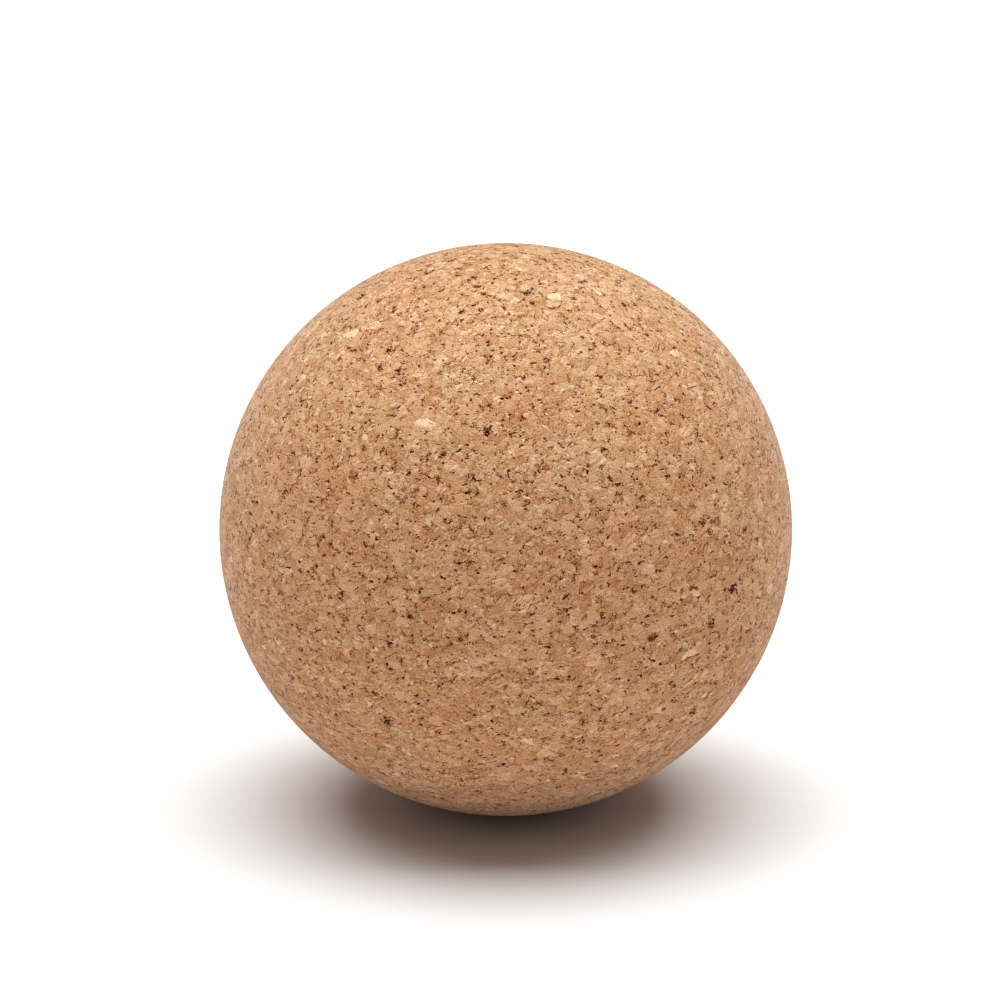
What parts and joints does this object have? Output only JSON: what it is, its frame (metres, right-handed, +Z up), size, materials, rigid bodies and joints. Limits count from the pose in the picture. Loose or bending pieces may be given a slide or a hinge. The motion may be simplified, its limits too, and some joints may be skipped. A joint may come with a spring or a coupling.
{
  "type": "massage ball",
  "caption": "Solid ball of pressed cork granules, rolled between the body and a floor, mat or wall to massage muscles.",
  "frame": {"origin": "centre of the ball", "axes": "+Z up; the ball rests on the floor at its lowest point on -Z; X and Y are level and free, because the ball is round"},
  "size_m": [0.065, 0.065, 0.065],
  "materials": {
    "agglomerated_cork": "matte"
  },
  "bodies": {
    "root": {"cork_ball": "agglomerated_cork"}
  },
  "joints": []
}
